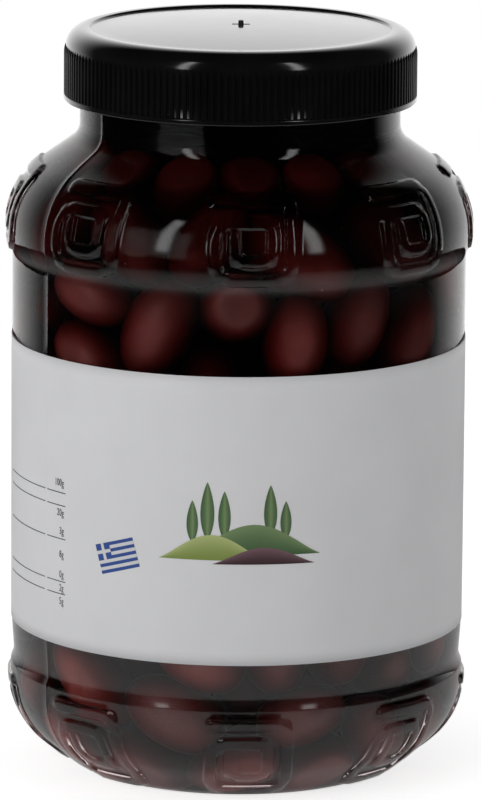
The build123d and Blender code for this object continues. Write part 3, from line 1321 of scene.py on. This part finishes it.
@dataclass
class Print:
    """Flat shapes on the label, gathered as coloured faces and wrapped round the jar."""

    radius: float
    ink_height: float = 0.03 * MM
    points: list[tuple[float, float]] = field(default_factory=list)
    lifts: list[float] = field(default_factory=list)
    inks: list[Colour] = field(default_factory=list)
    faces: list[tuple[int, ...]] = field(default_factory=list)

    def grid(self, places: np.ndarray, colours: np.ndarray, layer: int) -> None:
        """Adds a grid of quads.

        Args:
            places: (rows, columns, 2) array of places along and up the label.
            colours: (rows, columns, 3) array of ink colours.
            layer: 1 for the lowest print, more for what lies on it.
        """
        first = len(self.points)
        rows, columns = places.shape[:2]
        self.points += [tuple(p) for p in places.reshape(-1, 2)]
        self.inks += [tuple(c) for c in colours.reshape(-1, 3)]
        self.lifts += [self.ink_height * layer] * (rows * columns)
        for row in range(rows - 1):
            for column in range(columns - 1):
                a = first + row * columns + column
                self.faces.append((a, a + 1, a + 1 + columns, a + columns))

    def bar(
        self, middle: Vector, length: float, height: float, tilt: float, ink: Ink, layer: int = 1
    ) -> None:
        """Adds a straight bar turned by tilt about its own middle."""
        along = np.linspace(-length / 2, length / 2, max(2, math.ceil(length / (1.2 * MM)) + 1))
        up = np.array([-height / 2, height / 2])
        s, t = np.meshgrid(along, up)
        c, n = math.cos(tilt), math.sin(tilt)
        places = np.stack([middle.x + s * c - t * n, middle.y + s * n + t * c], axis=-1)
        self.grid(places, np.broadcast_to(np.array(ink.value), (*s.shape, 3)), layer)

    def tree(self, foot: Vector, height: float, width: float, layer: int = 1) -> None:
        """Adds a slender upright tree whose middle is lighter."""
        share = np.linspace(0, 1, 26)
        half = width / 2 * np.sin(np.pi * share ** 0.85) ** 0.8
        sides = np.array([-1.0, -0.5, -0.06, 0.06, 0.5, 1.0])
        x = foot.x - sides[:, None] * half
        places = np.stack([x, np.broadcast_to(foot.y + share * height, x.shape)], axis=-1)
        light = np.array([0.1, 0.35, 1.0, 0.8, 0.25, 0.0])[:, None, None]
        dark, pale = np.array(Ink.LEAF.value), np.array(Ink.LEAF_LIGHT.value)
        colours = np.broadcast_to(dark + (pale - dark) * light, (*places.shape[:2], 3))
        self.grid(places, colours, layer)

    def hill(self, foot: Vector, width: float, height: float, low: Ink, high: Ink, layer: int) -> None:
        """Adds a low hill on a straight foot, shaded from its foot to its crest."""
        across, up = np.meshgrid(np.linspace(-0.98, 0.98, 41), np.linspace(0, 1, 9))
        crest = height * np.cos(across * math.pi / 2) ** 1.3
        places = np.stack([foot.x + across * width / 2, foot.y + up * crest], axis=-1)
        dark, pale = np.array(low.value), np.array(high.value)
        self.grid(places, dark + (pale - dark) * up[..., None] ** 1.5, layer)

    def text(
        self, words: str, right: float, middle: float, height: float, ink: Ink = Ink.BLACK
    ) -> None:
        """Adds plain figures that end at right and stand about middle."""
        curve = bpy.data.curves.new("figures", "FONT")
        curve.body = words
        curve.align_x = "RIGHT"
        curve.size = height * 1.42
        curve.resolution_u = 3
        holder = bpy.data.objects.new("figures", curve)
        bpy.context.scene.collection.objects.link(holder)
        bpy.context.view_layer.update()
        mesh = bpy.data.meshes.new_from_object(holder.evaluated_get(bpy.context.evaluated_depsgraph_get()))
        first = len(self.points)
        squeeze = 0.72
        self.points += [(right + v.co.x * squeeze, middle - height / 2 + v.co.y) for v in mesh.vertices]
        self.inks += [ink.value] * len(mesh.vertices)
        self.lifts += [self.ink_height] * len(mesh.vertices)
        self.faces += [tuple(first + i for i in p.vertices) for p in mesh.polygons]
        bpy.data.objects.remove(holder)
        bpy.data.meshes.remove(mesh)
        bpy.data.curves.remove(curve)

    def wrap(self, name: str, material: bpy.types.Material) -> bpy.types.Object:
        """Makes the print one piece that lies on the label."""
        flat, lift = np.array(self.points), np.array(self.lifts)
        azimuth, out = flat[:, 0] / self.radius, self.radius + lift
        vertices = np.stack([out * np.sin(azimuth), -out * np.cos(azimuth), flat[:, 1]], axis=1)
        piece = new_object(name, vertices, self.faces)
        ink = piece.data.color_attributes.new("ink", "FLOAT_COLOR", "POINT")
        colours = np.concatenate([np.array(self.inks), np.ones((len(self.inks), 1))], axis=1)
        ink.data.foreach_set("color", colours.astype(np.float32).ravel())
        piece.data.materials.append(material)
        return piece


@dataclass
class Label:
    """Wrap-round paper label with its generic print."""

    jar: Jar
    paper: LabelPaper = LabelPaper("Label_Paper")
    printed: LabelPaper = LabelPaper("Label_Print", ink_attribute="ink")
    thickness: float = 0.2 * MM
    lap_width: float = 9.0 * MM
    ghost: float = 0.12 * MM
    ghost_width: float = 0.55 * MM
    wave_height: float = 0.02 * MM
    rule_right: float = -49.9 * MM
    rule_left: float = -84.0 * MM
    rule_heights: tuple[float, ...] = (79.8 * MM, 76.4 * MM, 67.6 * MM, 56.3 * MM, 53.0 * MM)
    figures: tuple[tuple[str, float], ...] = (
        ("100g", 82.5 * MM),
        ("20g", 74.6 * MM),
        ("3g", 69.8 * MM),
        ("8g", 63.6 * MM),
        ("0g", 58.3 * MM),
        ("2g", 54.7 * MM),
        ("5g", 51.2 * MM),
    )
    flag_middle: tuple[float, float] = (-32.3 * MM, 66.1 * MM)
    flag_size: tuple[float, float] = (11.7 * MM, 7.8 * MM)
    flag_tilt: float = math.radians(16.5)

    def __post_init__(self) -> None:
        """Takes the label's edges from the frame."""
        low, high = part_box("label")
        self.low, self.high = low.z, high.z
        self.outer = self.jar.panel_radius + self.thickness

    def _sleeve(self) -> bpy.types.Object:
        """The paper, with its lap at the back and the jar's parting line showing through."""
        inner = self.jar.panel_radius + 0.01 * MM
        heights = np.linspace(self.low, self.high, 22)
        outside = [(self.outer, z) for z in heights]
        inside = [(inner, z) for z in heights[::-1]]
        half_lap = self.lap_width / 2 / self.outer
        step = 0.4 * MM / self.outer
        columns = list(even_turn(240))
        for azimuth in self.jar.parting_azimuths:
            columns += [azimuth + step * k for k in range(-3, 4)]
        columns += [math.pi + side * half_lap + step * k * 0.3 for side in (-1, 1) for k in (-1, 0, 1)]
        columns = np.sort(np.mod(np.array(columns), 2 * math.pi))
        columns = columns[np.concatenate([[True], np.diff(columns) > 1e-5])]
        outer_count = len(outside)

        def raised(azimuth: np.ndarray, radius: np.ndarray, height: np.ndarray) -> np.ndarray:
            """The lap and the ghost of the parting line, on the outside only."""
            lift = np.zeros_like(radius)
            behind = np.abs(azimuth - math.pi) * self.outer
            lift += np.where(behind < self.lap_width / 2, self.thickness * 0.9, 0)
            for line in self.jar.parting_azimuths:
                away = (np.mod(azimuth - line + math.pi, 2 * math.pi) - math.pi) * self.outer
                lift += self.ghost * np.exp(-((away / self.ghost_width) ** 2))
            waves = np.sin(azimuth * 7 + 1.3) * np.sin(height * 90 + azimuth * 3)
            lift += self.wave_height * (1 + waves)
            lift[outer_count:] = 0
            return lift

        return turned("label_sleeve", np.array(outside + inside), columns, ring=True, raised=raised)

    def _draw_table(self, sheet: Print) -> None:
        """Ruled lines with plain weights."""
        length = self.rule_right - self.rule_left
        middle = (self.rule_right + self.rule_left) / 2
        for height in self.rule_heights:
            sheet.bar(Vector((middle, height)), length, 0.22 * MM, 0.0, Ink.BLACK)
        for words, height in self.figures:
            sheet.text(words, self.rule_right - 0.7 * MM, height, 1.9 * MM)

    def _draw_flag(self, sheet: Print) -> None:
        """A small tilted flag with nine stripes and a cross in its corner."""
        width, height = self.flag_size
        middle = Vector(self.flag_middle)
        spin = Matrix.Rotation(self.flag_tilt, 2)
        stripe = height / 9

        def at(x: float, y: float) -> Vector:
            """A place on the flag from its lower left corner."""
            return middle + spin @ Vector((x - width / 2, y - height / 2))

        sheet.bar(middle, width, height, self.flag_tilt, Ink.BLUE)
        for index in range(1, 9, 2):
            sheet.bar(at(width / 2, (index + 0.5) * stripe), width, stripe, self.flag_tilt, Ink.WHITE, 2)
        corner = 5 * stripe
        sheet.bar(at(corner / 2, height - corner / 2), corner, corner, self.flag_tilt, Ink.BLUE, 3)
        sheet.bar(at(corner / 2, height - corner / 2), corner, stripe, self.flag_tilt, Ink.WHITE, 4)
        sheet.bar(at(corner / 2, height - corner / 2), stripe, corner, self.flag_tilt, Ink.WHITE, 4)

    def _draw_hills(self, sheet: Print) -> None:
        """A generic landscape: slender trees behind two low hills and a dark field."""
        for x, y, height, width in (
            (-11.5, 71.5, 11.0, 3.0),
            (-7.6, 72.4, 15.0, 3.6),
            (-3.2, 72.6, 12.5, 3.2),
            (8.6, 73.2, 13.5, 3.4),
            (12.6, 72.4, 10.0, 2.9),
        ):
            sheet.tree(Vector((x, y)) * MM, height * MM, width * MM)
        for foot, width, height, low, high, layer in (
            ((4.5, 68.4), 35.0, 8.0, Ink.LEAF, Ink.LEAF_LIGHT, 2),
            ((-6.5, 67.0), 28.0, 6.6, Ink.FIELD, Ink.FIELD_LIGHT, 3),
            ((7.0, 66.0), 27.0, 4.4, Ink.EARTH, Ink.EARTH_LIGHT, 4),
        ):
            sheet.hill(Vector(foot) * MM, width * MM, height * MM, low, high, layer)

    def build(self, effects: Effects) -> list[bpy.types.Object]:
        """Builds the label and its print and dresses them."""
        sleeve = self._sleeve()
        sleeve.data.materials.append(self.paper.build(effects))
        sheet = Print(radius=self.outer + 0.05 * MM)
        self._draw_table(sheet)
        self._draw_flag(sheet)
        self._draw_hills(sheet)
        drawing = sheet.wrap("label_print", self.printed.build(effects))
        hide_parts("label")
        for piece in (sleeve, drawing):
            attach(piece, BODY)
        return [sleeve, drawing]


# ---------------------------------------------------------------------------------------------
# Studio
# ---------------------------------------------------------------------------------------------


@dataclass(frozen=True)
class LightCard:
    """A glowing card with soft edges, seen only in reflections."""

    name: str
    azimuth: float
    width: float
    low: float
    high: float
    glow: float
    distance: float = 0.75
    soft: tuple[float, float] = (0.4, 0.15)

    def build(self) -> bpy.types.Object:
        """Places the card upright, facing the jar."""
        half = self.width / 2
        outline = ((-half, self.low), (half, self.low), (half, self.high), (-half, self.high))
        corners = np.array([(x, 0, z) for x, z in outline])
        card = new_object(self.name, corners, [(0, 1, 2, 3)], smooth=False)
        turn = Matrix.Rotation(math.radians(self.azimuth), 4, "Z")
        card.data.transform(turn @ Matrix.Translation((0, -self.distance, 0)))
        uv = card.data.uv_layers.new(name="UVMap")
        uv.data.foreach_set("uv", [0, 0, 1, 0, 1, 1, 0, 1])
        material = bpy.data.materials.new(self.name)
        material.use_nodes = True
        wiring = Wiring(material.node_tree)
        wiring.tree.nodes.remove(wiring.tree.nodes["Principled BSDF"])
        place = wiring.node("ShaderNodeSeparateXYZ")
        wiring.join(wiring.coordinates(Coordinates.SURFACE), place.inputs[0])
        masks = []
        for axis, soft in zip(("X", "Y"), self.soft):
            aside = wiring.math("ABSOLUTE", wiring.math("SUBTRACT", place.outputs[axis], 0.5))
            inward = wiring.math("SUBTRACT", 0.5, aside)
            masks.append(wiring.smooth_range(inward, 0.0, soft))
        light = wiring.node("ShaderNodeEmission")
        glow = wiring.math("MULTIPLY", wiring.math("MULTIPLY", masks[0], masks[1]), self.glow)
        wiring.join(glow, light.inputs["Strength"])
        wiring.join(light.outputs[0], wiring.tree.nodes["Material Output"].inputs["Surface"])
        card.data.materials.append(material)
        for ray in ("camera", "diffuse", "shadow", "transmission", "volume_scatter"):
            setattr(card, f"visible_{ray}", False)
        return card


@dataclass
class Studio:
    """White floor, white surroundings with a dark front, soft lights and the camera."""

    floor_radius: float = 0.6
    fade_from: float = 0.15
    floor_glow: float = 0.72
    clear_glow: float = 0.6
    glossy_glow: float = 0.2
    front_ambient: float = 0.5
    side_ambient: float = 1.0
    top_share: float = 0.3
    front_dark: float = 0.004
    dark_reach: tuple[float, float] = (0.4, 0.97)
    side_lean: float = 0.05
    top_lean: float = -0.15
    side_reach: tuple[float, float] = (0.15, 0.95)
    top_reach: tuple[float, float] = (0.15, 0.8)
    floor_colour: Colour = (0.88, 0.88, 0.88)
    cards: tuple[LightCard, ...] = (
        LightCard("card_left", -37.0, width=0.14, low=0.14, high=1.0, glow=2.4),
        LightCard("card_right", 37.0, width=0.14, low=0.14, high=1.0, glow=2.4),
    )
    soft_power: float = 14.0
    soft_size: float = 1.4
    soft_place: tuple[float, float, float] = (-1.5, -1.6, 0.7)
    soft_aim: tuple[float, float, float] = (0.0, 0.0, 0.1)
    camera_place: tuple[float, float, float] = (0.00065, -1.835, 0.4763)
    camera_down: float = 11.69
    camera_roll: float = 0.45
    lens: float = 320.9
    sensor: float = 36.0
    clip: tuple[float, float] = (0.05, 50.0)

    def _world(self) -> None:
        """White for what the camera sees directly, a studio with a dark front for gloss and glass."""
        world = bpy.data.worlds.new("studio_world")
        bpy.context.scene.world = world
        world.use_nodes = True
        wiring = Wiring(world.node_tree)
        background = world.node_tree.nodes["Background"]
        way = wiring.node("ShaderNodeSeparateXYZ")
        wiring.join(wiring.coordinates(Coordinates.DIRECTION), way.inputs[0])
        side = wiring.math("MULTIPLY", wiring.math("ABSOLUTE", way.outputs["X"]), self.side_lean)
        behind = wiring.math("ADD", way.outputs["Y"], side)
        lean = wiring.math("MULTIPLY_ADD", way.outputs["Z"], self.top_lean, behind)
        dome = wiring.smooth_range(lean, *self.dark_reach, self.front_dark, 1.0)
        rays = wiring.node("ShaderNodeLightPath")
        seen = wiring.math("MAXIMUM", rays.outputs["Is Glossy Ray"], rays.outputs["Is Transmission Ray"])
        shown = wiring.node("ShaderNodeMix", data_type="FLOAT")
        wiring.join(seen, shown.inputs["Factor"])
        wiring.join(self._ambient(wiring, way), shown.inputs["A"])
        wiring.join(dome, shown.inputs["B"])
        final = wiring.node("ShaderNodeMix", data_type="FLOAT")
        wiring.join(rays.outputs["Is Camera Ray"], final.inputs["Factor"])
        wiring.join(shown.outputs["Result"], final.inputs["A"])
        final.inputs["B"].default_value = 1.0
        wiring.join(final.outputs["Result"], background.inputs["Strength"])
        background.inputs["Color"].default_value = (1, 1, 1, 1)

    def _ambient(self, wiring: Wiring, way: bpy.types.Node) -> bpy.types.NodeSocket:
        """Soft light for dull surfaces: fuller from the sides and behind, weaker from above."""
        side = wiring.math("MAXIMUM", wiring.math("ABSOLUTE", way.outputs["X"]), way.outputs["Y"])
        around = wiring.smooth_range(side, *self.side_reach, self.front_ambient, self.side_ambient)
        above = wiring.smooth_range(way.outputs["Z"], *self.top_reach, 1.0, self.top_share)
        return wiring.math("MULTIPLY", around, above)

    def _floor(self) -> bpy.types.Object:
        """A pale floor that keeps the jar's shadow and shows white to camera, gloss and glass."""
        reach = self.floor_radius
        rim = [(reach * math.cos(a), reach * math.sin(a), 0.0) for a in even_turn(96)]
        floor = new_object("floor", np.array(rim), [tuple(range(len(rim)))])
        material = bpy.data.materials.new("Pale_Floor")
        material.use_nodes = True
        wiring = Wiring(material.node_tree)
        shader = material.node_tree.nodes["Principled BSDF"]
        shader.inputs["Roughness"].default_value = 0.9
        shader.inputs["Specular IOR Level"].default_value = 0.0
        rays = wiring.node("ShaderNodeLightPath")
        seen = wiring.math("MULTIPLY", rays.outputs["Is Glossy Ray"], self.glossy_glow)
        for ray, share in (("Is Transmission Ray", self.clear_glow), ("Is Camera Ray", self.floor_glow)):
            seen = wiring.math("MAXIMUM", seen, wiring.math("MULTIPLY", rays.outputs[ray], share))
        shader.inputs["Emission Color"].default_value = (1, 1, 1, 1)
        away = wiring.node("ShaderNodeVectorMath", operation="LENGTH")
        wiring.join(wiring.coordinates(Coordinates.OBJECT), away.inputs[0])
        fade = wiring.smooth_range(away.outputs["Value"], self.fade_from, self.floor_radius, 1.0, 0.0)
        direct = wiring.math("SUBTRACT", 1.0, rays.outputs["Is Glossy Ray"])
        shown = wiring.math("MAXIMUM", fade, direct)
        pale = wiring.ramp(shown, [(0.0, (0, 0, 0)), (1.0, self.floor_colour)])
        wiring.join(pale, shader.inputs["Base Color"])
        glow = wiring.math("MULTIPLY", seen, shown)
        wiring.join(glow, shader.inputs["Emission Strength"])
        floor.data.materials.append(material)
        return floor

    def _soft(self) -> None:
        """A large soft light to the left of the front that shows in no reflection."""
        data = bpy.data.lights.new("soft_front", "AREA")
        data.size, data.energy = self.soft_size, self.soft_power
        lamp = bpy.data.objects.new("soft_front", data)
        lamp.location = self.soft_place
        aim = Vector(self.soft_aim) - lamp.location
        lamp.rotation_euler = aim.to_track_quat("-Z", "Y").to_euler()
        lamp.visible_glossy = False
        bpy.context.scene.collection.objects.link(lamp)

    def _camera(self) -> None:
        """The camera in front, looking slightly down."""
        data = bpy.data.cameras.new("camera")
        data.lens, data.sensor_width = self.lens, self.sensor
        data.clip_start, data.clip_end = self.clip
        camera = bpy.data.objects.new("camera", data)
        camera.location = self.camera_place
        down = Matrix.Rotation(math.radians(90 - self.camera_down), 4, "X")
        roll = Matrix.Rotation(math.radians(self.camera_roll), 4, "Z")
        camera.rotation_euler = (down @ roll).to_euler()
        bpy.context.scene.collection.objects.link(camera)
        bpy.context.scene.camera = camera

    def build(self) -> None:
        """Builds the studio."""
        self._world()
        self._floor()
        for card in self.cards:
            card.build()
        self._soft()
        self._camera()
        bpy.context.scene.view_settings.view_transform = "Standard"


def report(pieces: Iterable[bpy.types.Object]) -> None:
    """Logs each piece with its triangle count."""
    for piece in pieces:
        triangles = sum(len(p.vertices) - 2 for p in piece.data.polygons)
        log.info("%s: %d triangles", piece.name, triangles)


def main() -> None:
    """Builds the jar, its filling, lid and label, and the studio around them."""
    logging.basicConfig(level=logging.INFO, format="%(name)s %(message)s")
    effects = Effects()
    jar = Jar()
    report([jar.build(effects)])
    filling = Filling(jar)
    report([filling.build_brine(), filling.build_olives(effects), filling.build_bubbles()])
    report(Lid().build(effects))
    report(Label(jar).build(effects))
    Studio().build()


if __name__ == "__main__":
    main()
